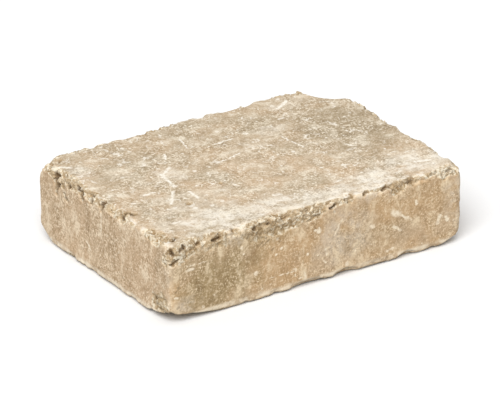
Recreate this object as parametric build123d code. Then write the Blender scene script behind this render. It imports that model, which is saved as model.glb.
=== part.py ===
from build123d import *
import math
import os

# Tumbled concrete walling block, pressed as one solid piece and then rolled in a drum, which
# knocks off its arrises and corners. Origin at the middle of the lower bed face, +X along the
# length, -Y the face side, +Z up. Millimetres.

# Overall size
length = 300.0
depth = 210.0
height = 74.0

# Wear of the twelve arrises
arris_wear = 4.2            # usual set-back of a worn arris from the sharp edge
wear_swing = 0.5            # share by which the set-back wanders along an arris
corner_wear = 5.0           # extra set-back where an arris runs into a corner
corner_fade = 10.0          # distance from the corner over which that extra wear fades out
ripples = [(120.0, 0.45), (40.0, 0.35), (20.0, 0.20)]   # wave lengths of the wander, with shares
station_spacing = 9.0       # distance between two sections of an arris
fewest_stations = 4         # sections that even a short arris gets
facet_turn = 30.0           # degrees from a face to the first edge of the rounded arris
cutter_margin = 3.0         # how far each cutter stands out past the block

# Pieces broken away: the faces that the break crosses, and how far it runs back from each of
# them. Two faces give a flat on an upright arris, and three give a lost corner.
breaks = [
    (("left", "front"), (1.7, 2.1)),
    (("right", "front"), (1.7, 2.1)),
    (("left", "back"), (2.2, 2.8)),
    (("right", "back"), (3.3, 4.1)),
    (("left", "front", "lower"), (58.0, 48.0, 10.0)),
    (("left", "front", "lower"), (21.0, 15.0, 17.0)),
    (("left", "front", "upper"), (12.0, 10.0, 9.0)),
    (("right", "front", "lower"), (29.0, 15.0, 10.5)),
    (("right", "front", "upper"), (8.0, 13.0, 11.0)),
    (("left", "back", "lower"), (17.0, 27.0, 16.0)),
    (("left", "back", "upper"), (22.0, 13.0, 13.0)),
    (("right", "back", "lower"), (14.0, 12.0, 13.0)),
    (("right", "back", "upper"), (33.0, 54.0, 23.0)),
]

# Shell-shaped chips: the two faces that share the arris, the distance along it from its left,
# front or lower end as a share of its length, how long the chip is and how deep it bites
chips = [
    ("front", "lower", 0.475, 34.0, 3.2),
    ("front", "lower", 0.600, 27.0, 4.0),
    ("front", "lower", 0.810, 22.0, 3.0),
    ("front", "upper", 0.110, 22.0, 2.6),
    ("front", "upper", 0.235, 17.0, 2.0),
    ("left", "upper", 0.330, 13.0, 2.2),
    ("left", "upper", 0.610, 16.0, 2.4),
    ("left", "upper", 0.835, 20.0, 4.4),
    ("right", "upper", 0.420, 26.0, 3.4),
    ("right", "lower", 0.550, 22.0, 3.0),
    ("back", "upper", 0.300, 30.0, 3.2),
    ("back", "upper", 0.640, 24.0, 2.8),
    ("back", "lower", 0.420, 28.0, 3.6),
]

# Hollow bites out of a corner: its three faces, how far the centre of the ball-shaped scar
# stands out past each of them, and the scar's radius
bites = [
    (("right", "back", "upper"), (4.0, -6.0, 28.0), 46.3),
]

# Outward direction of each face of the block, and its distance from the block's centre
CENTRE = Vector(0, 0, height / 2)
FACES = {
    "left": (Vector(-1, 0, 0), length / 2),
    "right": (Vector(1, 0, 0), length / 2),
    "front": (Vector(0, -1, 0), depth / 2),
    "back": (Vector(0, 1, 0), depth / 2),
    "lower": (Vector(0, 0, -1), height / 2),
    "upper": (Vector(0, 0, 1), height / 2),
}


def sharp_point(names):
    """Middle of the sharp arris that two faces share, or the sharp corner of three."""
    point = CENTRE
    for name in names:
        out, distance = FACES[name]
        point += out * distance
    return point


def arris_line(face_a, face_b):
    """Direction and length of the arris that two faces share."""
    across = FACES[face_a][0].cross(FACES[face_b][0])
    along = Vector(abs(across.X), abs(across.Y), abs(across.Z))
    return along, along.X * length + along.Y * depth + along.Z * height


def wander(place, seed):
    """An uneven value from -1 to 1 that drifts along an arris."""
    waves = [share * math.sin(2 * math.pi * place / wave + seed * wave) for wave, share in ripples]
    return sum(waves)


def set_back(place, size, seed):
    """How far an arris is worn back at one place along it."""
    to_corner = max(min(place, size - place), 0)
    usual = arris_wear * (1 + wear_swing * wander(place, seed))
    return usual + corner_wear * math.exp(-((to_corner / corner_fade) ** 2))


def worn_section(at, out_a, out_b, wear_a, wear_b):
    """Outline of what is missing from the arris at one place: a rounded corner in three facets."""
    near = 1 - math.cos(math.radians(facet_turn))
    far = 1 - math.sin(math.radians(facet_turn))
    slope = near / far
    margin_a = cutter_margin * wear_a / wear_b / slope
    margin_b = cutter_margin * wear_b / wear_a / slope
    # Each pair is the distance in from face a and from face b
    outline = [
        (-cutter_margin, -cutter_margin),
        (wear_a + margin_a, -cutter_margin),
        (far * wear_a, near * wear_b),
        (near * wear_a, far * wear_b),
        (-cutter_margin, wear_b + margin_b),
    ]
    return Wire.make_polygon([at - out_a * a - out_b * b for a, b in outline], close=True)


def wear_cutter(face_a, face_b, seed):
    """What the drum has worn off one whole arris."""
    middle = sharp_point([face_a, face_b])
    along, size = arris_line(face_a, face_b)
    out_a, out_b = FACES[face_a][0], FACES[face_b][0]
    spans = max(fewest_stations, round(size / station_spacing))
    sections = []
    for station in range(-1, spans + 2):
        place = station * size / spans
        wear_a = set_back(place, size, seed)
        wear_b = set_back(place, size, -seed)
        at = middle + along * (place - size / 2)
        sections.append(worn_section(at, out_a, out_b, wear_a, wear_b))
    return Solid.make_loft(sections, ruled=True)


def break_off(block, names, reaches):
    """Splits off what lies outside the plane that crosses each named face's arris at its reach."""
    out = Vector(0, 0, 0)
    for name, reach in zip(names, reaches):
        out += FACES[name][0] / reach
    on_plane = sharp_point(names) - FACES[names[0]][0] * reaches[0]
    return split(block, bisect_by=Plane(on_plane, z_dir=out), keep=Keep.BOTTOM)


def chip_cutter(face_a, face_b, share, chip_length, bite):
    """A ball that leaves a shell-shaped scar of the given length and bite on a worn arris."""
    along, size = arris_line(face_a, face_b)
    out = (FACES[face_a][0] + FACES[face_b][0]).normalized()
    radius = (chip_length**2 / 4 + bite**2) / (2 * bite)
    already_worn = arris_wear * (math.sqrt(2) - 1)
    on_arris = sharp_point([face_a, face_b]) + along * size * (share - 0.5)
    return Pos(on_arris + out * (radius - bite - already_worn)) * Sphere(radius)


def bite_cutter(names, stand_outs, radius):
    """A ball that leaves a hollow scar in a corner."""
    centre = sharp_point(names)
    for name, stand_out in zip(names, stand_outs):
        centre += FACES[name][0] * stand_out
    return Pos(centre) * Sphere(radius)


def wall_block():
    """The block: a pressed prism, its arrises worn, corners broken and chips struck off."""
    block = Pos(CENTRE) * Box(length, depth, height)
    sides = ["front", "back", "left", "right"]
    arrises = [(side, bed) for side in sides for bed in ("lower", "upper")]
    arrises += [(end, side) for end in ("left", "right") for side in ("front", "back")]
    for seed, (face_a, face_b) in enumerate(arrises, start=1):
        block = block - wear_cutter(face_a, face_b, seed)
    for names, reaches in breaks:
        block = break_off(block, names, reaches)
    for bite in bites:
        block = block - bite_cutter(*bite)
    for chip in chips:
        block = block - chip_cutter(*chip)
    return block


os.makedirs("parts", exist_ok=True)
export_step(wall_block(), "parts/wall_block.step")
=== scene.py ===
import itertools
import math

import bpy
import numpy as np
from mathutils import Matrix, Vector


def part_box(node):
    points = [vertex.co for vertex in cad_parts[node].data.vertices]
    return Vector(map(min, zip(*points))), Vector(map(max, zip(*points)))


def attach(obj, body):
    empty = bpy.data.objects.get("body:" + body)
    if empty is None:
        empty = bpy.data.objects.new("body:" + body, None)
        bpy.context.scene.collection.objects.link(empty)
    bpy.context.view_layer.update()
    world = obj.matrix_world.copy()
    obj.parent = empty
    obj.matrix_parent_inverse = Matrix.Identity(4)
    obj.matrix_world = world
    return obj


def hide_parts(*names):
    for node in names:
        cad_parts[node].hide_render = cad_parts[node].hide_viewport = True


# Looks of a tumbled concrete wall block: one piece with crumbled arrises, chips, pits and broken
# corners, in a mottled sand-coloured concrete. Lengths are millimetres until a mesh, lamp or
# camera takes them, and places are in the block's frame: +X along its length, -Y the face side.
# A pair of limits that is named below is where something starts and where it is at its full.

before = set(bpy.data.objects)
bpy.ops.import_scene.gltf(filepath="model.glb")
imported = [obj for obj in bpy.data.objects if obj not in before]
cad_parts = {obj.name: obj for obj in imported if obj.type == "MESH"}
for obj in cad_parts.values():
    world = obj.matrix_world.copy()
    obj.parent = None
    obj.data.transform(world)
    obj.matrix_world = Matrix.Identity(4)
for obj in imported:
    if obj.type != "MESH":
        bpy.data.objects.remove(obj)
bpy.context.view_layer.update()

MM = 0.001
NODE = "wall_block"
LOW, HIGH = (np.array(corner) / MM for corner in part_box(NODE))
CENTRE = (LOW + HIGH) / 2
HALF = (HIGH - LOW) / 2

# Mesh
VOXEL = 0.8                 # spacing of the even mesh that the relief is carved into
SOFTEN_ROUNDS = 10          # smoothing passes that take the facets off before the carving
TRIANGLES = 196000          # the finished piece stays below this
CORE_MARGIN = 16.0          # the relief is carved towards a core this far inside the faces
NORMAL_SHARE = 0.3          # how much the carving leans to the direction of the surface instead

# Repeatable random numbers: whole-number places and a seed are hashed, ten bits for each number
PLACE_PRIMES = (73856093, 19349663, 83492791)
SEED_PRIME = 15485863
SCRAMBLES = ((15, 2246822519), (13, 3266489917))    # shift and factor of each round
LAST_SHIFT = 16
WORD = 0xFFFFFFFF
TEN_BITS = 0x3FF

# Noise
NOISE_GAIN = 1.6            # brings gradient noise to about -1 to 1
SEED_SHIFT = 17.31          # how far apart the noises of two seeds lie, in wave lengths
FAR = 9.0                   # distance, in spacings or reaches, beyond which nothing counts
TINY = 1e-9                 # keeps a slot without length from dividing by nothing

# First seed of each noise and of the scattered sites
WAVE_SEED = 1
PIT_SEED = 11
CRUMBLE_SEED = 21
CORNER_SEED = 24
ROUGH_SEED = 25
BITE_SEED = 27
CHIP_DRIFT_SEED = 31
CHIP_EDGE_SEED = 34
STONE_SEED = 41
STONE_DRIFT_SEED = 51
PATCH_SEED = 61

# Relief of the faces
WAVES = [(70.0, 0.30), (24.0, 0.30), (9.0, 0.20), (4.5, 0.12)]    # wave length and depth
PIT_SPACING = 13.0
PIT_SHARE = 0.25            # share of the pit sites that hold a pit
PIT_RADIUS = 1.3
PIT_DEPTH = 1.3
SMALLEST_PIT = 0.5          # share of the radius that the smallest pit has
PIT_FLOOR = 0.4             # share of its radius within which a pit has its full depth

# Crumbled arrises: how far the skin is off on both sides of an arris, and how that wanders
CRUMBLE_WIDTH = 5.6
CRUMBLE_WANDER = [(34.0, 5.5), (12.0, 5.0), (5.0, 2.4)]           # wave length and height
FAINT_WIDTH = 4.0           # a narrower band is fainter
BAND_CORE = 0.5             # share of its width within which a band is wholly crumbled
UPPER_CRUMBLE = 1.0         # share of the width on the arrises of the upper bed
LOWER_CRUMBLE = 0.4
UPRIGHT_CRUMBLE = 0.2
BED_ARRIS = (0.6, 0.8)      # limits of what counts as a bed's arris, as shares of half the height
BITE_WAVES = [(16.0, 2.2), (8.0, 1.8)]      # length and depth of the shallow bites along them
BITE_NOISE = (0.05, 0.50)   # limits of the noise that makes a bite
BITE_REACH = (8.0, 3.5)     # limits of the distance from the arris

# Broken stone that shows where the skin is off: sizes, and the share of the depth of each
STONES = [(4.6, 0.5), (2.4, 0.3), (1.3, 0.2)]
STONE_DEPTH = 2.5
STONE_LEVELS = (0.15, 0.9)  # limits of a stone's random number, which sets how deep it lies
STONE_DRIFT = 0.3           # how far their outlines are pushed about, as a share of their size
STONE_DRIFT_WAVE = 3.5
CORNER_STONE = 0.7          # share of the depth on broken corners

# Broken corners: how far below the faces they start, and how uneven they are
CORNER_START = (1.9, 3.4)
CORNER_EDGE = [(7.0, 0.6)]                  # wave length and height
CORNER_DEPTH = 0.9
CORNER_SWING = 0.6
CORNER_ROUGH = [(14.0, 1.0), (6.0, 0.6)]    # wave length and height

# Stretches where the skin is off further into the faces: middle and reach, then how far the
# wander of the crumbling moves their outlines, in reaches, and the limits of each
CRUMBLED_WANDER = 0.10
CRUMBLED_EDGE = (1.0, 0.6)
NARROWEST_BAND = 0.01       # keeps a band that has run out from dividing by nothing
CRUMBLED = [
    ((-62, -105, 68), (20, 9, 11)),
    ((-34, -105, 67), (26, 9, 14)),
    ((-2, -105, 68), (26, 8, 11)),
    ((-104, -105, 70), (27, 9, 11)),
    ((-133, -104, 68), (20, 12, 15)),
    ((-146, -101, 63), (8, 8, 13)),
    ((26, -105, 71), (20, 6, 7)),
    ((66, -105, 73), (18, 5, 4)),
    ((100, -105, 73), (16, 6, 5)),
    ((134, -104, 72), (16, 8, 7)),
    ((-149, 36, 72), (6, 46, 6)),
    ((-150, 69, 69), (6, 9, 8)),
    ((-149, -30, 73), (7, 20, 5)),
    ((-147, -80, 74), (8, 20, 5)),
    ((-153, -91, 14), (8, 14, 11)),
    ((84, -105, 70), (10, 5, 7)),
    ((-144, 96, 70), (7, 8, 6)),
    ((114, 101, 73), (9, 7, 6)),
]

# How the outlines of the chosen pits and slots are pushed about, and their form
CHIP_DRIFT = 1.6
CHIP_DRIFT_WAVE = 5.0
CHIP_EDGE = 0.35            # unevenness of their edges, as a share of the radius
CHIP_EDGE_WAVE = 2.4
CHIP_FLOOR = 0.45           # share of the radius within which one has its full depth
CHIP_STONE = 0.4            # share of the way into one at which its stone is wholly broken
ACROSS = 0.4                # share that distances across a face count for in its pits and slots

# Pits that stand out: middle, radius and depth
CHIPS = [
    ((-148.5, 41.5, 71.5), 3.6, 4.2),
    ((-150, 54.5, 66.5), 2.8, 3.4),
    ((-150, 60, 54), 2.6, 3.0),
    ((-150, 62, 56.5), 2.0, 2.4),
    ((-150, 57.5, 52.5), 2.0, 2.4),
    ((-147.5, 4, 73.5), 3.0, 3.4),
    ((-149, -28, 71.5), 3.2, 4.0),
    ((-139, 88, 73), 3.4, 2.8),
    ((-135, 92, 74), 3.0, 2.2),
    ((-63, -105, 69), 3, 2.4),
    ((-48, -105, 71), 2.6, 2.4),
    ((-150, -82, 17), 2.4, 2.2),
    ((-150, -84, 11), 2.4, 2.2),
    ((-147, -97, 9), 2.6, 2.2),
    ((-18, 39, 74), 2.6, 2.4),
    ((-88, -41, 74), 3.4, 1.8),
    ((-44, -22, 74), 2.6, 1.4),
]

# Slots that stand out, most of them along the upper arrises: start, end, radius and depth
SLOTS = [
    ((-147, 78.5, 70.5), (-149.5, 76, 62), 3.2, 4.6),
    ((-149.8, 75.8, 65), (-149.8, 74.8, 54), 3.2, 4.8),
    ((-149.5, 74, 61), (-149.5, 70, 61.5), 2.6, 3.8),
    ((-148.5, 35.5, 70), (-149.5, 34, 65), 3.8, 4.8),
    ((-148.5, 19.5, 71), (-149.5, 18.5, 66.5), 2.8, 4.4),
    ((-149, 2.8, 71), (-149.5, 2, 66), 2.4, 4.0),
    ((-142.5, -27, 73.5), (-139, -34, 73.5), 2.8, 3.8),
    ((-141, -93.5, 74), (-133, -90, 74), 2.4, 2.6),
    ((-134.5, -105, 71.5), (-133.5, -105, 70), 2.2, 3.6),
    ((-138, -105, 67.5), (-136.5, -105, 69.5), 1.9, 2.2),
    ((-147.5, -104, 69), (-146.5, -105, 65.5), 2.4, 2.3),
    ((-148, -104, 56), (-141, -105, 58.5), 2.0, 2.0),
    ((-121, -105, 70), (-117, -105, 71), 1.9, 1.8),
    ((-104, -105, 69.5), (-98, -105, 70.5), 2.6, 2.1),
    ((-34, -105, 71.5), (-28, -105, 73), 1.8, 1.6),
    ((-14, -104, 72), (-7, -104, 73), 1.7, 1.5),
    ((13, -105, 67.5), (18, -105, 69), 2.4, 2.4),
    ((0, -104, 72.5), (5, -104, 73), 1.6, 1.5),
    ((29, -104, 71.5), (36, -104, 72.5), 1.7, 1.5),
    ((47, -104, 72), (53, -104, 73), 1.7, 1.8),
    ((67, -104, 71.5), (75, -104, 73), 1.7, 1.6),
    ((94, -104, 72), (101, -104, 73), 1.8, 1.8),
    ((118, -104, 72), (124, -104, 73), 1.7, 1.5),
    ((134, -104, 70.5), (141, -103, 72), 2.0, 1.9),
]

# What the material reads: limits of how far a face is turned, of the heights and distances that
# are scuffed (on the upright arrises partly a painted highlight) and of the depths that take
# painted shade, and the edges of the patches
SIDE_TURN = (0.55, 0.85)
FOOT_UPPER = (8.5, 5.5)
FOOT_LOWER = (1.5, 3.5)
SCUFF_AND_HIGHLIGHT_REACH = (7.5, 1.0)
SCUFF_AND_HIGHLIGHT_MORE = 0.2            # what every arris is scuffed beyond its share of the crumbling, on the upright arrises partly a painted highlight
PAINTED_SHADE_DEPTHS = (0.5, 2.8)
PIT_SHADE_STRENGTH = 0.7          # painted shade of the scattered pits
PATCH_EDGE = (1.15, 0.3)
PATCH_UNEVEN = [(14.0, 0.25), (6.0, 0.15)]      # wave length and height, in reaches

# Pale cement bloom, shaded and olive-stained patches: middle, reach and strength
BLOOM_PATCHES = [
    ((-82, -82, 74), (56, 34, 20), 1.0),
    ((-20, -86, 74), (60, 24, 20), 0.8),
    ((60, -90, 74), (60, 22, 20), 1.0),
    ((116, -78, 74), (46, 24, 20), 1.0),
    ((-138, 60, 74), (18, 18, 20), 0.6),
    ((-90, -40, 74), (50, 26, 20), 0.35),
    ((87, 82, 74), (20, 12, 20), 0.6),
    ((48, 46, 74), (18, 12, 20), 0.5),
    ((-76, 14, 74), (16, 24, 20), 0.5),
    ((142, -105, 40), (13, 20, 34), 0.45),
    ((30, -105, 40), (36, 20, 30), 0.4),
    ((-132, -105, 16), (16, 20, 9), 0.4),
]
SHADE_PATCHES = [
    ((112, 18, 74), (66, 72, 20), 1.0),
    ((92, 72, 74), (20, 16, 20), 0.2),
    ((-60, 88, 74), (90, 22, 20), 0.4),
    ((10, 66, 74), (170, 60, 20), 0.3),
    ((60, -105, 26), (60, 20, 18), 0.3),
    ((-150, -95, 50), (20, 14, 30), 0.3),
]
OLIVE_PATCHES = [
    ((-100, -105, 30), (52, 20, 40), 1.0),
    ((-60, -105, 60), (50, 20, 14), 0.6),
    ((-150, -92, 15), (14, 15, 13), 1.0),
]

# Pale scratches and scuffs, and dark ones: start, end and width
PALE_STROKES = [
    ((-26, 71, 74), (-30, 52, 74), 1.5),
    ((-6, 46, 74), (13, 47, 74), 1.7),
    ((-27, 12, 74), (3, 19, 74), 1.3),
    ((-58, 44, 74), (-54, 52, 74), 1.8),
    ((-78, 20, 74), (-81, -7, 74), 2.3),
    ((-64, 28, 74), (-80, 15, 74), 2.2),
    ((-102, -34, 74), (-87, -14, 74), 2.3),
    ((-76, -22, 74), (-76, -36, 74), 2.2),
    ((-112, -7, 74), (-102, -7, 74), 2.2),
    ((-87, 72, 74), (-86, 72, 74), 2.2),
    ((-20, -67, 74), (-14, -69, 74), 2.6),
    ((62, -49, 74), (68, -51, 74), 1.8),
    ((118, -78, 74), (131, -82, 74), 2.6),
    ((80, 78, 74), (95, 86, 74), 2.8),
    ((51, 27, 74), (55, 0, 74), 1.3),
    ((-135, 74, 74), (-151, 86, 72), 2.2),
    ((78, -105, 46), (84, -105, 43), 4.0),
    ((84, -105, 43), (96, -105, 35), 1.8),
    ((101, -105, 51), (102, -105, 48), 2.0),
    ((124, -105, 24), (126, -105, 31), 2.6),
    ((24, -105, 53), (24, -105, 52), 2.2),
    ((22, -105, 50), (17, -105, 41), 1.5),
    ((71, -105, 12), (78, -105, 13), 1.8),
    ((-24, -105, 20), (-23, -105, 19), 2.0),
    ((-13, -105, 14), (-12, -105, 8), 1.6),
    ((8, -105, 27), (9, -105, 25), 1.7),
    ((6, -105, 20), (7, -105, 19), 1.7),
    ((-132, -105, 51), (-113, -105, 51), 1.1),
    ((-48, -105, 18), (-24, -105, 18), 1.0),
    ((78, -105, 33), (86, -105, 27), 1.8),
    ((-150, 2, 62), (-150, 2, 45), 1.3),
    ((-150, 11, 70), (-150, 5, 68.5), 2.2),
    ((-148, -2, 73.5), (-149, -5, 72), 2.4),
    ((-148, -29, 73), (-148, -32, 73), 2.0),
    ((-150, 26, 27), (-150, 19, 21), 1.8),
]
DARK_STROKES = [
    ((-60, -105, 51), (-52, -105, 57), 1.4),
    ((-56, -105, 50), (-49, -105, 55), 1.1),
    ((-138, -105, 36), (-143, -105, 30), 1.6),
    ((-144, -22, 74), (-139, -36, 74), 2.0),
]


def smoothstep(low, high, value):
    """0 at low, 1 at high and smooth in between, whichever of the two is larger."""
    t = np.clip((value - low) / (high - low), 0, 1)
    return t * t * (3 - 2 * t)


def cell_random(cells, seed):
    """Repeatable random numbers from 0 to 1, three for each row of whole-number cell places."""
    x, y, z = (cells[:, axis].astype(np.int64) * prime for axis, prime in enumerate(PLACE_PRIMES))
    mixed = x ^ y ^ z ^ (seed * SEED_PRIME)
    for shift, factor in SCRAMBLES:
        mixed = ((mixed ^ (mixed >> shift)) * factor) & WORD
    mixed = mixed ^ (mixed >> LAST_SHIFT)
    parts = [(mixed >> shift) & TEN_BITS for shift in (0, 10, 20)]
    return np.stack(parts, axis=1) / TEN_BITS


def smooth_noise(points, wave, seed):
    """Gradient noise from about -1 to 1 that changes over one wave length."""
    scaled = points / wave + seed * SEED_SHIFT
    base = np.floor(scaled)
    within = scaled - base
    fade = within**3 * (within * (within * 6 - 15) + 10)
    total = np.zeros(len(points))
    for corner in itertools.product((0, 1), repeat=3):
        slope = cell_random(base + corner, seed) * 2 - 1
        rise = np.sum(slope * (within - corner), axis=1)
        total += rise * np.prod(np.where(corner, fade, 1 - fade), axis=1)
    return total * NOISE_GAIN


def layered_noise(points, layers, first_seed):
    """Noises of several wave lengths and heights, added up."""
    total = np.zeros(len(points))
    for seed, (wave, height) in enumerate(layers, start=first_seed):
        total += height * smooth_noise(points, wave, seed)
    return total


def drift(points, wave, first_seed):
    """A push along each of the three axes that changes over one wave length."""
    seeds = range(first_seed, first_seed + 3)
    return np.stack([smooth_noise(points, wave, seed) for seed in seeds], axis=1)


def scattered(points, spacing, seed):
    """Scattered sites: distance to the nearest one, in spacings, and its random number."""
    scaled = points / spacing
    base = np.floor(scaled)
    nearest = np.full(len(points), FAR)
    number = np.zeros(len(points))
    for step in itertools.product((-1, 0, 1), repeat=3):
        cell = base + step
        away = np.linalg.norm(scaled - cell - cell_random(cell, seed), axis=1)
        closer = away < nearest
        nearest = np.where(closer, away, nearest)
        number = np.where(closer, cell_random(cell, seed + 1)[:, 0], number)
    return nearest, number


def read_vectors(items, name):
    """One named vector of every vertex or normal, as an array."""
    flat = np.empty(len(items) * 3, np.float32)
    items.foreach_get(name, flat)
    return flat.reshape(-1, 3).astype(float)


def apply_modifiers(piece):
    """Makes the piece's mesh what its modifiers show."""
    graph = bpy.context.evaluated_depsgraph_get()
    finished = bpy.data.meshes.new_from_object(piece.evaluated_get(graph), depsgraph=graph)
    piece.modifiers.clear()
    piece.data = finished


def even_copy():
    """A dense, evenly meshed copy of the CAD block with its facets softened."""
    piece = bpy.data.objects.new("block_body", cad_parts[NODE].data.copy())
    bpy.context.scene.collection.objects.link(piece)
    remesh = piece.modifiers.new("even_mesh", "REMESH")
    remesh.mode = "VOXEL"
    remesh.voxel_size = VOXEL * MM
    soften = piece.modifiers.new("soften", "SMOOTH")
    soften.iterations = SOFTEN_ROUNDS
    apply_modifiers(piece)
    return piece


def ellipsoid(points, middle, reach):
    """Distance from each point to a middle, 1 at the reach."""
    return np.linalg.norm((points - np.array(middle)) / np.array(reach), axis=1)


def arris_share(points):
    """How strongly the arrises at each height are crumbled."""
    up = (points[:, 2] - CENTRE[2]) / HALF[2]
    upper = smoothstep(*BED_ARRIS, up) * (UPPER_CRUMBLE - UPRIGHT_CRUMBLE)
    lower = smoothstep(*BED_ARRIS, -up) * (LOWER_CRUMBLE - UPRIGHT_CRUMBLE)
    return UPRIGHT_CRUMBLE + upper + lower


def crumbled(points, to_arris):
    """1 where the skin has crumbled off the arrises, 0 where it is whole."""
    wander = layered_noise(points, CRUMBLE_WANDER, CRUMBLE_SEED)
    width = np.maximum((CRUMBLE_WIDTH + wander) * arris_share(points), NARROWEST_BAND)
    band = np.clip(width / FAINT_WIDTH, 0, 1) * smoothstep(width, BAND_CORE * width, to_arris)
    away = np.full(len(points), FAR)
    for middle, reach in CRUMBLED:
        away = np.minimum(away, ellipsoid(points, middle, reach))
    away -= CRUMBLED_WANDER * wander
    return np.maximum(band, smoothstep(*CRUMBLED_EDGE, away))


def bites(points, to_arris):
    """How deep the shallow bites along the arrises are."""
    depth = np.zeros(len(points))
    for seed, (wave, bite) in enumerate(BITE_WAVES, start=BITE_SEED):
        depth += bite * smoothstep(*BITE_NOISE, smooth_noise(points, wave, seed))
    return depth * arris_share(points) * smoothstep(*BITE_REACH, to_arris)


def stones(points):
    """How deep each point lies in the broken stone, from 0 to 1."""
    push = drift(points, STONE_DRIFT_WAVE, STONE_DRIFT_SEED)
    deep = np.zeros(len(points))
    for seed, (spacing, share) in enumerate(STONES, start=STONE_SEED):
        _, number = scattered(points + STONE_DRIFT * spacing * push, spacing, seed)
        deep += share * smoothstep(*STONE_LEVELS, number)
    return deep


def face_relief(points):
    """How deep the waves of the faces are, and 1 inside their scattered pits."""
    depth = np.zeros(len(points))
    for seed, (wave, height) in enumerate(WAVES, start=WAVE_SEED):
        depth += height * (1 + smooth_noise(points, wave, seed)) / 2
    away, number = scattered(points, PIT_SPACING, PIT_SEED)
    radius = PIT_RADIUS * (SMALLEST_PIT + number / PIT_SHARE) / PIT_SPACING
    pit = np.where(number < PIT_SHARE, smoothstep(radius, radius * PIT_FLOOR, away), 0)
    return depth, pit


def to_line(points, start, end):
    """Distance from each point to a line between two places of a face, less across the face."""
    start, along = np.array(start, float), np.subtract(end, start)
    share = np.clip((points - start) @ along / max(along @ along, TINY), 0, 1)
    away = points - start - share[:, None] * along
    away[:, np.argmin(HALF - np.abs(start - CENTRE))] *= ACROSS
    return np.linalg.norm(away, axis=1)


def chosen_pits(points):
    """Pits and slots at chosen places: 1 inside each, and how deep."""
    inside = np.zeros(len(points))
    depth = np.zeros(len(points))
    pushed = points + CHIP_DRIFT * drift(points, CHIP_DRIFT_WAVE, CHIP_DRIFT_SEED)
    uneven = smooth_noise(points, CHIP_EDGE_WAVE, CHIP_EDGE_SEED)
    for start, end, size, bite in SLOTS + [(middle, middle, *rest) for middle, *rest in CHIPS]:
        away = to_line(pushed, start, end) / size + CHIP_EDGE * uneven
        hollow = smoothstep(1.0, CHIP_FLOOR, away)
        inside = np.maximum(inside, hollow)
        depth = np.maximum(depth, hollow * bite)
    return inside, depth


def patches(points, places, uneven):
    """How strongly a few soft patches cover each point."""
    cover = np.zeros(len(points))
    for middle, reach, strength in places:
        away = ellipsoid(points, middle, reach) + uneven
        cover = np.maximum(cover, strength * smoothstep(*PATCH_EDGE, away))
    return cover


def carve(piece):
    """Carves the relief into the even mesh and stores what the material needs to know."""
    mesh = piece.data
    points = read_vectors(mesh.vertices, "co") / MM
    normals = read_vectors(mesh.vertex_normals, "vector")
    inset = np.sort(HALF - np.abs(points - CENTRE), axis=1)
    below_face, to_arris = inset[:, 0], inset[:, 1]

    depth, pit = face_relief(points)
    chosen, chosen_depth = chosen_pits(points)
    corner = smoothstep(*CORNER_START, below_face + layered_noise(points, CORNER_EDGE, CORNER_SEED))
    rough = layered_noise(points, CORNER_ROUGH, ROUGH_SEED)
    worn = np.maximum(crumbled(points, to_arris), corner)
    worn = np.maximum(worn, smoothstep(0.0, CHIP_STONE, chosen))
    between = np.zeros(len(points))
    between[worn > 0] = stones(points[worn > 0])

    depth += PIT_DEPTH * pit + chosen_depth
    depth += corner * (CORNER_DEPTH + CORNER_SWING * rough)
    depth += bites(points, to_arris)
    depth += STONE_DEPTH * worn * between * np.where(corner > 0.5, CORNER_STONE, 1)
    core = np.clip(points, LOW + CORE_MARGIN, HIGH - CORE_MARGIN)
    outward = (points - core) / CORE_MARGIN + NORMAL_SHARE * normals
    outward /= np.linalg.norm(outward, axis=1)[:, None]
    moved = points - outward * np.maximum(depth, 0)[:, None]
    moved = np.clip(moved, LOW, HIGH)
    mesh.vertices.foreach_set("co", (moved * MM).astype(np.float32).ravel())

    up = points[:, 2]
    uneven = layered_noise(points, PATCH_UNEVEN, PATCH_SEED)
    kept = {
        "bed": smoothstep(*SIDE_TURN, np.abs(normals[:, 2])),
        "end": smoothstep(*SIDE_TURN, np.abs(normals[:, 0])),
        "worn": worn,
        "foot": smoothstep(*FOOT_UPPER, up) * smoothstep(*FOOT_LOWER, up),
        "between": between * worn,
        # painted shade in the pits: the scattered ones evenly, the chosen ones darker the deeper they
        # are
        "pit": np.maximum(PIT_SHADE_STRENGTH * pit, smoothstep(*PAINTED_SHADE_DEPTHS, chosen_depth)),
        # pale scuffs along the arrises, on the upright ones partly a painted highlight
        "arris": smoothstep(*SCUFF_AND_HIGHLIGHT_REACH, to_arris) * np.minimum(arris_share(points) + SCUFF_AND_HIGHLIGHT_MORE, 1),
        "bloom": patches(points, BLOOM_PATCHES, uneven),
        "shade": patches(points, SHADE_PATCHES, uneven),
        "olive": patches(points, OLIVE_PATCHES, uneven),
    }
    for name, values in kept.items():
        attribute = mesh.attributes.new(name, "FLOAT", "POINT")
        attribute.data.foreach_set("value", values.astype(np.float32))
    mesh.update()


def thin_out(piece):
    """Leaves the mesh dense where the relief is, and sparse where it is smooth."""
    triangles = 2 * len(piece.data.polygons)
    if triangles <= TRIANGLES:
        return
    thin = piece.modifiers.new("thin_out", "DECIMATE")
    thin.ratio = TRIANGLES / triangles
    apply_modifiers(piece)


def build_block():
    """The finished piece, without its material."""
    piece = even_copy()
    carve(piece)
    thin_out(piece)
    piece.data.shade_smooth()
    return piece


# Light, floor and camera
SUN_STRENGTH = 2.4
SUN_SIDE = (-0.49, -0.46, 0.75)     # where the light comes from
SUN_ANGLE = 40
SKY_STRENGTH = 0.52
FLOOR_REACH = 12000.0               # from the block to each edge of the floor
FLOOR_DROP = 0.2                    # keeps the floor clear of the lower bed
FLOOR_SEEN = (1.0, 1.0, 1.0)
FLOOR_BOUNCE = (0.5, 0.49, 0.47)
CAMERA_PLACE = (-2594.5, -3945.4, 2284.1)
CAMERA_LENS = 312.6                 # focal length of the photograph's own frame
CLOSER = 1.4                        # how much closer this view is, to fill the frame with one block

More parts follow.
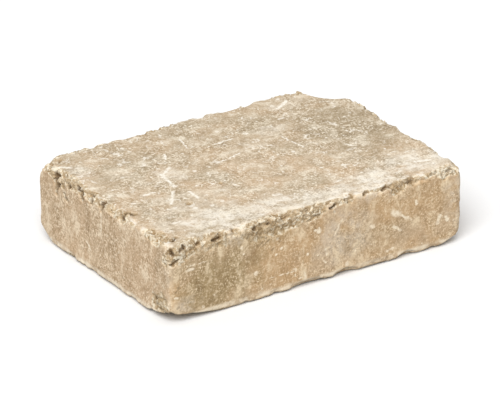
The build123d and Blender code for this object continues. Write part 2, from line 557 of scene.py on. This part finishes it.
# Colours of the concrete, linear
SAND = (0.592, 0.458, 0.310)
FACE_TAN = (0.640, 0.434, 0.242)
END_TAN = (0.657, 0.477, 0.308)
GREY = (0.504, 0.406, 0.277)
WARM = (0.630, 0.464, 0.301)
BLOOM = (0.931, 0.862, 0.747)
HAZE = (0.813, 0.713, 0.562)
OLIVE = (0.452, 0.327, 0.175)
SHADE = (0.448, 0.350, 0.228)
SPECK = (0.27, 0.19, 0.11)
# painted shade inside the pits and slots
PIT_SHADE = (0.155, 0.092, 0.042)

# Broken stone, from the brown of its gaps, partly its own tone and partly painted shade, to its
# palest fragments
BROWN_AND_SHADE = (0.40, 0.275, 0.145)
OCHRE = (0.57, 0.43, 0.26)
STONE = (0.60, 0.465, 0.30)
CRUMB = (0.92, 0.83, 0.66)
STONE_TONES = [((0.05, 0.2), OCHRE), ((0.25, 0.4), STONE), ((0.58, 0.85), CRUMB)]
FRAGMENT = 2.8                      # size of the fragments
STONE_PALER = 0.2                   # what is added to the tone of all fragments
STONE_DEPTH_SHADE = 0.6                # painted shade: how much of it is lost where the stone lies deepest
STONE_SWING = 1.2                   # how far it drifts from place to place
STONE_MOTTLE = 1.2
STONE_OLIVE = 0.45                  # share of the olive stain that the stone takes
STONE_START = (0.05, 0.5)           # limits of how worn the skin is where the stone shows
STONE_COVER = 0.9
GAP_SHADE_START = (0.45, 0.8)             # limits of the distance from the middle of a fragment, over which its gap takes painted shade
GAP_SHADE = 0.36
DEEP_SHADE_START = (0.5, 0.9)              # limits of how deep the stone lies, over which it takes painted shade
DEEP_SHADE = 0.3
# how strongly the pits take their painted shade
PIT_SHADE_COVER = 0.9

NOISE_MIDDLE = 0.5                  # of the noises that the material makes

# How three of them lie: their turn in degrees and their stretch
BLOOM_GRAIN = ((0, 0, 10), (1.3, 1, 1))
CLOUD_GRAIN = ((0, 0, 8), (1.3, 1, 1))
STREAK_GRAIN = ((6, 0, 0), (1, 1, 2))

# Noises of the material: wave length, detail and roughness
BLOOM_NOISE = (19, 6, 0.68)
CLOUD_NOISE = (15, 4, 0.55)
STREAK_NOISE = (12, 4, 0.6)
RAGGED_NOISE = (4.2, 2, 0.7)
FINE_NOISE = (1.9, 2, 0.8)
STONE_NOISE = (18, 1, 0.55)
STONE_GRAIN = (2.2, 2, 0.8)
GRIT_NOISE = (1.3, 3, 0.75)
LUMP_NOISE = (3.6, 4, 0.6)

# Uneven covers: the same three of a noise, its limits, and how much there is below and above them
GREY_COVER = (55, 3, 0.55, 0.42, 0.62, 0.0, 1.0)
WARM_COVER = (34, 2, 0.55, 0.46, 0.64, 0.0, 0.8)
BUSY_COVER = (26, 2, 0.55, 0.4, 0.6, 0.7, 1.3)
TORN_COVER = (6.5, 3, 0.65, 0.34, 0.56, 0.35, 1.0)
SCRATCH_COVER = (12, 2, 0.55, 0.54, 0.62, 0.0, 0.6)
GRAIN_COVER = (2.4, 2, 0.6, 0.35, 0.6, 0.5, 1.0)
ARRIS_COVER = (7, 3, 0.55, 0.4, 0.6, 0.1, 0.8)
FOOT_COVER = (11, 3, 0.55, 0.35, 0.55, 0.2, 0.9)

# How strong the grey tone and the haze are on the sides and on the beds, what is left of the haze
# where the block is shaded, and the limits of the noise that the haze and the bloom share
GREY_AMOUNTS = (0.25, 0.75)
HAZE_AMOUNTS = (0.08, 0.58)
SHADED_HAZE = 0.3
HAZE_START = (0.50, 0.72)
BLOOM_START = (0.36, 0.56)

# Mottling: what its dark parts multiply a colour by, the limits of the noise for its dark and its
# pale parts, how strong the pale ones are beside the dark ones, and on the face, the ends and the
# beds what colour the pale ones are and how strong each size of the mottling is
DARKER = (0.72, 0.685, 0.63)
DARK_START = (0.5, 0.26)
PALE_START = (0.52, 0.70)
PALE_SHARE = 0.7
CREAMS = ((0.97, 0.80, 0.56), (0.96, 0.81, 0.61), (0.97, 0.88, 0.72))
CLOUD_AMOUNTS = (1.05, 1.0, 0.75)
RAGGED_AMOUNTS = (0.75, 0.7, 0.65)
FINE_AMOUNTS = (1.1, 1.5, 1.1)

# Pale flecks: their colour and strength on the face, the ends and the beds, then for each layer
# its turn in degrees, stretch, spacing, radius and the share of the sites that hold one
FLECKS = ((1.0, 0.87, 0.67), (0.98, 0.87, 0.69), (0.99, 0.93, 0.82))
FLECK_AMOUNTS = (1.1, 0.5, 0.8)
FLECK_LAYERS = [
    ((0, 0, 0), (1, 1, 1), 13, 2.0, 0.36),
    ((50, 30, 20), (1, 1, 1), 7, 1.2, 0.36),
    ((15, 35, 25), (3, 1, 1), 15, 1.3, 0.36),
    ((50, 20, 75), (3, 1, 1), 16, 1.3, 0.36),
    ((30, 60, -50), (3, 1, 1), 17, 1.4, 0.32),
]

# Dark specks: turn, spacing, radius and share, then the strength of all, and for flecks and specks
# the sizes of the smallest and the largest and the limits of their edges, as shares of the radius
SPECK_LAYERS = [((40, 20, 70), 8, 1.2, 0.2), ((0, 60, 30), 13, 1.6, 0.2)]
SPECK_AMOUNT = 0.5
SPOT_SIZES = (0.5, 1.5)
SPOT_EDGE = (1.05, 0.55)

# Fine scratches that wind about: wave length and turn, then detail, roughness and winding of all
SCRATCH_LAYERS = [(10, (20, 40, 10)), (16, (70, 10, 50))]
SCRATCH_NOISE = (1, 0.5, 0.6)
SCRATCH_WIDTH = (0.024, 0.006)      # limits of the noise beside the line of a scratch

# The strokes that stand out
DARK_STROKE_AMOUNT = 0.7
STROKE_CORE = 0.25                  # share of its width within which a stroke is at its full

# Grain that pushes the outlines of the marks about, and the relief too fine to carve
WOBBLE_WAVE = 3.5
WOBBLE_DETAIL = 2.0
RAGGED_PUSH = 4.0
UNEVEN_PUSH = 3.0
BUMP_DISTANCE = 1.9
GRIT_HEIGHT = 0.16
LUMP_HEIGHT = 0.25
FRAGMENT_HEIGHT = 0.4
ROUGHNESS_START = (0.3, 0.7)
ROUGHNESS = (0.84, 0.97)
SPECULAR = 0.25


class Nodes:
    """Short calls that add nodes to one material or world."""

    def __init__(self, owner):
        self.tree = owner.node_tree

    def add(self, kind, inputs=(), **settings):
        """A node of one kind, its settings, and its inputs by name or number."""
        node = self.tree.nodes.new("ShaderNode" + kind)
        for name, value in settings.items():
            setattr(node, name, value)
        for key, value in dict(inputs).items():
            self.give(node.inputs[key], value)
        return node

    def give(self, socket, value):
        """Links a socket to another one's output, or sets its value."""
        if isinstance(value, bpy.types.NodeSocket):
            self.tree.links.new(value, socket)
        else:
            socket.default_value = value

    def math(self, operation, a, b=0.0, c=0.0):
        """Two or three numbers put together."""
        return self.add("Math", {0: a, 1: b, 2: c}, operation=operation).outputs[0]

    def times(self, a, b):
        """One number times another."""
        return self.math("MULTIPLY", a, b)

    def vector(self, operation, inputs):
        """Vectors put together, and their number or vector."""
        node = self.add("VectorMath", inputs, operation=operation)
        gives_number = operation in ("DOT_PRODUCT", "DISTANCE")
        return node.outputs["Value" if gives_number else "Vector"]

    def ramp(self, value, low, high, start=0.0, end=1.0):
        """Start where the value is low, end where it is high, and smooth in between."""
        inputs = {"Value": value, "From Min": low, "From Max": high, "To Min": start, "To Max": end}
        return self.add("MapRange", inputs, interpolation_type="SMOOTHSTEP").outputs["Result"]

    def mix(self, share, a, b):
        """Colour a turned into colour b by a share."""
        node = self.add("Mix", {0: share}, data_type="RGBA")
        for key, colour in ((6, a), (7, b)):
            self.give(node.inputs[key], (*colour, 1.0) if isinstance(colour, tuple) else colour)
        return node.outputs[2]

    def mottle(self, colour, value, amount, cream):
        """A colour made darker or paler by noise, which is mostly from 0.3 to 0.7."""
        dark = self.times(self.ramp(value, *DARK_START), amount)
        pale = self.times(self.ramp(value, *PALE_START), self.times(amount, PALE_SHARE))
        darker = self.vector("MULTIPLY", {0: colour, 1: DARKER})
        return self.mix(pale, self.mix(dark, colour, darker), cream)

    def attribute(self, name):
        """A number that the mesh carries."""
        return self.add("Attribute", attribute_name=name).outputs["Fac"]

    def by_face(self, of_face, of_end, of_bed):
        """One of three numbers or colours, after the side of the block."""
        values = [(v,) * 3 if isinstance(v, float) else v for v in (of_face, of_end, of_bed)]
        side = self.mix(self.attribute("end"), values[0], values[1])
        return self.mix(self.attribute("bed"), side, values[2])

    def turned(self, place, turn, stretch=(1, 1, 1)):
        """The place turned by degrees about each axis, then stretched along the new axes."""
        inputs = {
            "Vector": place,
            "Rotation": [math.radians(angle) for angle in turn],
            "Scale": [1 / size for size in stretch],
        }
        return self.add("Mapping", inputs).outputs["Vector"]

    def noise(self, place, wave, detail=3.0, roughness=0.55, distortion=0.0):
        """Noise of one wave length in millimetres, mostly from 0.3 to 0.7."""
        inputs = {
            "Vector": place,
            "Scale": 1 / wave,
            "Detail": detail,
            "Roughness": roughness,
            "Distortion": distortion,
        }
        return self.add("TexNoise", inputs).outputs["Fac"]

    def cover(self, place, wave, detail, roughness, *limits_and_amounts):
        """How much there is of something that noise spreads unevenly."""
        return self.ramp(self.noise(place, wave, detail, roughness), *limits_and_amounts)

    def from_to(self, share, start, end):
        """A number on the way from start to end."""
        return self.math("MULTIPLY_ADD", share, end - start, start)

    def flecks(self, place, spacing, radius, share):
        """Spots on a share of scattered sites, 1 in the middle of each."""
        cells = self.add("TexVoronoi", {"Vector": place, "Scale": 1 / spacing})
        pick = self.add("SeparateColor", {"Color": cells.outputs["Color"]})
        chosen = self.math("LESS_THAN", pick.outputs[0], share)
        reach = self.times(self.from_to(pick.outputs[1], *SPOT_SIZES), radius / spacing)
        ratio = self.math("DIVIDE", cells.outputs["Distance"], reach)
        return self.times(chosen, self.ramp(ratio, *SPOT_EDGE))

    def strokes(self, place, lines):
        """1 on any of a list of straight strokes, given by start, end and width."""
        cover = 0.0
        for start, end, width in lines:
            along = Vector(end) - Vector(start)
            offset = self.vector("SUBTRACT", {0: place, 1: start})
            share = self.vector("DOT_PRODUCT", {0: offset, 1: tuple(along / along.length_squared)})
            held = self.add("Clamp", {"Value": share}).outputs[0]
            nearest = self.vector("SCALE", {0: tuple(along), "Scale": held})
            away = self.vector("DISTANCE", {0: offset, 1: nearest})
            cover = self.math("MAXIMUM", cover, self.ramp(away, width, STROKE_CORE * width))
        return cover


def pushed_about(n, place):
    """The place pushed about by the grain, for ragged outlines and for less uneven ones."""
    inputs = {"Vector": place, "Scale": 1 / WOBBLE_WAVE, "Detail": WOBBLE_DETAIL}
    wobble = n.add("TexNoise", inputs).outputs["Color"]
    centred = n.vector("SUBTRACT", {0: wobble, 1: (NOISE_MIDDLE,) * 3})
    pushes = (RAGGED_PUSH, UNEVEN_PUSH)
    return [n.vector("MULTIPLY_ADD", {0: centred, 1: (push,) * 3, 2: place}) for push in pushes]


def tones(n, place):
    """The colour of each side, with its large changes of tone and its stained patches."""
    base = n.by_face(FACE_TAN, END_TAN, SAND)
    greyness = n.from_to(n.attribute("bed"), *GREY_AMOUNTS)
    colour = n.mix(n.times(n.cover(place, *GREY_COVER), greyness), base, GREY)
    colour = n.mix(n.cover(place, *WARM_COVER), colour, WARM)
    colour = n.mix(n.attribute("shade"), colour, SHADE)
    return n.mix(n.attribute("olive"), colour, OLIVE)


def bloomed(n, colour, place, ragged):
    """A haze of cement, and thick bloom on its patches, broken up by the grain."""
    patchy = n.noise(n.turned(place, *BLOOM_GRAIN), *BLOOM_NOISE)
    haze = n.times(n.ramp(patchy, *HAZE_START), n.from_to(n.attribute("bed"), *HAZE_AMOUNTS))
    unshaded = n.from_to(n.attribute("shade"), 1.0, SHADED_HAZE)
    colour = n.mix(n.times(haze, unshaded), colour, HAZE)
    thick = n.times(n.ramp(patchy, *BLOOM_START), n.attribute("bloom"))
    return n.mix(n.times(thick, n.cover(ragged, *TORN_COVER)), colour, BLOOM)


def mottled(n, colour, place, ragged):
    """Mottling, drawn out a little along the length on the beds and upright on the sides."""
    cream = n.by_face(*CREAMS)
    busy = n.cover(place, *BUSY_COVER)
    cloud = n.noise(n.turned(place, *CLOUD_GRAIN), *CLOUD_NOISE)
    streak = n.noise(n.turned(place, *STREAK_GRAIN), *STREAK_NOISE)
    large = n.mix(n.attribute("bed"), streak, cloud)
    colour = n.mottle(colour, large, n.by_face(*CLOUD_AMOUNTS), cream)
    middling = n.noise(ragged, *RAGGED_NOISE)
    colour = n.mottle(colour, middling, n.times(busy, n.by_face(*RAGGED_AMOUNTS)), cream)
    fine = n.noise(place, *FINE_NOISE)
    return n.mottle(colour, fine, n.times(busy, n.by_face(*FINE_AMOUNTS)), cream)


def scratched(n, colour, place, ragged, fleck):
    """Fine pale scratches that wind about the beds."""
    for wave, turn in SCRATCH_LAYERS:
        winding = n.noise(n.turned(ragged, turn), wave, *SCRATCH_NOISE)
        off_line = n.math("ABSOLUTE", n.math("SUBTRACT", winding, NOISE_MIDDLE))
        line = n.times(n.ramp(off_line, *SCRATCH_WIDTH), n.cover(place, *SCRATCH_COVER))
        colour = n.mix(n.times(line, n.attribute("bed")), colour, fleck)
    return colour


def flecked(n, colour, ragged, uneven, fleck):
    """Pale flecks and dashes, dark specks, and the strokes of both that stand out."""
    grain_gaps = n.cover(ragged, *GRAIN_COVER)
    fleck_share = n.times(n.by_face(*FLECK_AMOUNTS), grain_gaps)
    for turn, stretch, spacing, radius, share in FLECK_LAYERS:
        spots = n.flecks(n.turned(uneven, turn, stretch), spacing, radius, share)
        colour = n.mix(n.times(spots, fleck_share), colour, fleck)
    for turn, spacing, radius, share in SPECK_LAYERS:
        spots = n.flecks(n.turned(ragged, turn), spacing, radius, share)
        colour = n.mix(n.times(spots, SPECK_AMOUNT), colour, SPECK)
    colour = n.mix(n.times(n.strokes(ragged, PALE_STROKES), grain_gaps), colour, fleck)
    return n.mix(n.times(n.strokes(ragged, DARK_STROKES), DARK_STROKE_AMOUNT), colour, SPECK)


def scuffed_and_highlit(n, colour, place, fleck):
    """Pale scuffs along the arrises, on the upright ones partly a painted highlight, and just above
    the foot.
    """
    arris = n.times(n.attribute("arris"), n.cover(place, *ARRIS_COVER))
    foot = n.times(n.attribute("foot"), n.cover(place, *FOOT_COVER))
    return n.mix(n.math("MAXIMUM", arris, foot), colour, fleck)


def broken(n, colour, place, ragged, fragments):
    """Broken stone where the skin is off: small fragments, with painted shade that makes them browner
    the deeper they lie and darkens their gaps, and painted shade in the pits.
    """
    worn, between = n.attribute("worn"), n.attribute("between")
    tone = n.add("SeparateColor", {"Color": fragments.outputs["Color"]}).outputs[0]
    tone = n.math("MULTIPLY_ADD", between, -STONE_DEPTH_SHADE, n.math("ADD", tone, STONE_PALER))
    lowered = n.math("SUBTRACT", tone, STONE_SWING * NOISE_MIDDLE)
    tone = n.math("MULTIPLY_ADD", n.noise(place, *STONE_NOISE), STONE_SWING, lowered)
    stone = BROWN_AND_SHADE
    for limits, paler in STONE_TONES:
        stone = n.mix(n.ramp(tone, *limits), stone, paler)
    stone = n.mottle(stone, n.noise(ragged, *STONE_GRAIN), STONE_MOTTLE, CRUMB)
    stone = n.mix(n.times(n.attribute("olive"), STONE_OLIVE), stone, OLIVE)
    colour = n.mix(n.times(n.ramp(worn, *STONE_START), STONE_COVER), colour, stone)
    # painted shade: the gaps between the fragments and the deepest stone are darkened towards brown
    gap_shade = n.times(n.ramp(fragments.outputs["Distance"], *GAP_SHADE_START), worn)
    low = n.ramp(between, *DEEP_SHADE_START)
    dark = n.math("MAXIMUM", n.times(low, DEEP_SHADE), n.times(gap_shade, GAP_SHADE))
    colour = n.mix(dark, colour, BROWN_AND_SHADE)
    # painted shade inside the pits and slots
    return n.mix(n.times(n.attribute("pit"), PIT_SHADE_COVER), colour, PIT_SHADE)


def concrete():
    """Mottled sand-coloured concrete, its bloom, flecks, stains and broken stone, with painted shade
    in its gaps and pits.
    """
    material = bpy.data.materials.new("tumbled_concrete")
    material.use_nodes = True
    n = Nodes(material)
    object_place = n.add("TexCoord").outputs["Object"]
    place = n.vector("SCALE", {0: object_place, "Scale": 1 / MM})
    ragged, uneven = pushed_about(n, place)
    fragments = n.add("TexVoronoi", {"Vector": ragged, "Scale": 1 / FRAGMENT})
    fleck = n.by_face(*FLECKS)

    colour = tones(n, place)
    colour = bloomed(n, colour, place, ragged)
    colour = mottled(n, colour, place, ragged)
    colour = scratched(n, colour, place, ragged, fleck)
    colour = flecked(n, colour, ragged, uneven, fleck)
    colour = scuffed_and_highlit(n, colour, place, fleck)
    colour = broken(n, colour, place, ragged, fragments)

    grit = n.noise(place, *GRIT_NOISE)
    lumps = n.noise(place, *LUMP_NOISE)
    height = n.math("MULTIPLY_ADD", grit, GRIT_HEIGHT, n.times(lumps, LUMP_HEIGHT))
    domes = n.math("SUBTRACT", lumps, fragments.outputs["Distance"])
    height = n.math("ADD", height, n.times(n.times(domes, n.attribute("worn")), FRAGMENT_HEIGHT))
    bump = n.add("Bump", {"Strength": 1.0, "Distance": BUMP_DISTANCE * MM, "Height": height})

    shader = n.tree.nodes["Principled BSDF"]
    n.give(shader.inputs["Base Color"], colour)
    n.give(shader.inputs["Normal"], bump.outputs["Normal"])
    n.give(shader.inputs["Roughness"], n.ramp(lumps, *ROUGHNESS_START, *ROUGHNESS))
    shader.inputs["Specular IOR Level"].default_value = SPECULAR
    return material


def plain_floor():
    """A wide white floor that keeps the block's shadow and throws little light back."""
    reach = FLOOR_REACH * MM
    mesh = bpy.data.meshes.new("floor")
    corners = [(-reach, -reach, 0), (reach, -reach, 0), (reach, reach, 0), (-reach, reach, 0)]
    mesh.from_pydata(corners, [], [(0, 1, 2, 3)])
    floor = bpy.data.objects.new("floor", mesh)
    floor.location.z = -FLOOR_DROP * MM
    bpy.context.scene.collection.objects.link(floor)
    material = bpy.data.materials.new("white_floor")
    material.use_nodes = True
    n = Nodes(material)
    shader = n.tree.nodes["Principled BSDF"]
    seen = n.add("LightPath").outputs["Is Camera Ray"]
    n.give(shader.inputs["Base Color"], n.mix(seen, FLOOR_BOUNCE, FLOOR_SEEN))
    shader.inputs["Roughness"].default_value = 1.0
    shader.inputs["Specular IOR Level"].default_value = 0.0
    floor.data.materials.append(material)


def studio():
    """A broad soft light from the upper left, and a white surround."""
    key = bpy.data.lights.new("key", "SUN")
    key.energy = SUN_STRENGTH
    key.angle = math.radians(SUN_ANGLE)
    lamp = bpy.data.objects.new("key", key)
    lamp.rotation_euler = (-Vector(SUN_SIDE)).to_track_quat("-Z", "Y").to_euler()
    bpy.context.scene.collection.objects.link(lamp)
    world = bpy.data.worlds.new("surround")
    world.use_nodes = True
    n = Nodes(world)
    path = n.add("LightPath")
    seen = n.math("MAXIMUM", path.outputs["Is Camera Ray"], path.outputs["Is Glossy Ray"])
    strength = n.add("MapRange", {"Value": seen, "To Min": SKY_STRENGTH, "To Max": 1.0})
    background = n.tree.nodes["Background"]
    background.inputs["Color"].default_value = (1, 1, 1, 1)
    n.give(background.inputs["Strength"], strength.outputs["Result"])
    bpy.context.scene.world = world


def photo_camera():
    """The photograph's viewpoint, aimed at the block and closed in on it."""
    data = bpy.data.cameras.new("photo_camera")
    data.lens = CAMERA_LENS * CLOSER
    camera = bpy.data.objects.new("photo_camera", data)
    camera.location = Vector(CAMERA_PLACE) * MM
    aim = Vector(CENTRE) * MM
    camera.rotation_euler = (aim - camera.location).to_track_quat("-Z", "Y").to_euler()
    bpy.context.scene.collection.objects.link(camera)
    bpy.context.scene.camera = camera


block = build_block()
block.data.materials.clear()
block.data.materials.append(concrete())
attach(block, "root")
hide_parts(NODE)
plain_floor()
studio()
photo_camera()
bpy.context.scene.view_settings.view_transform = "Standard"
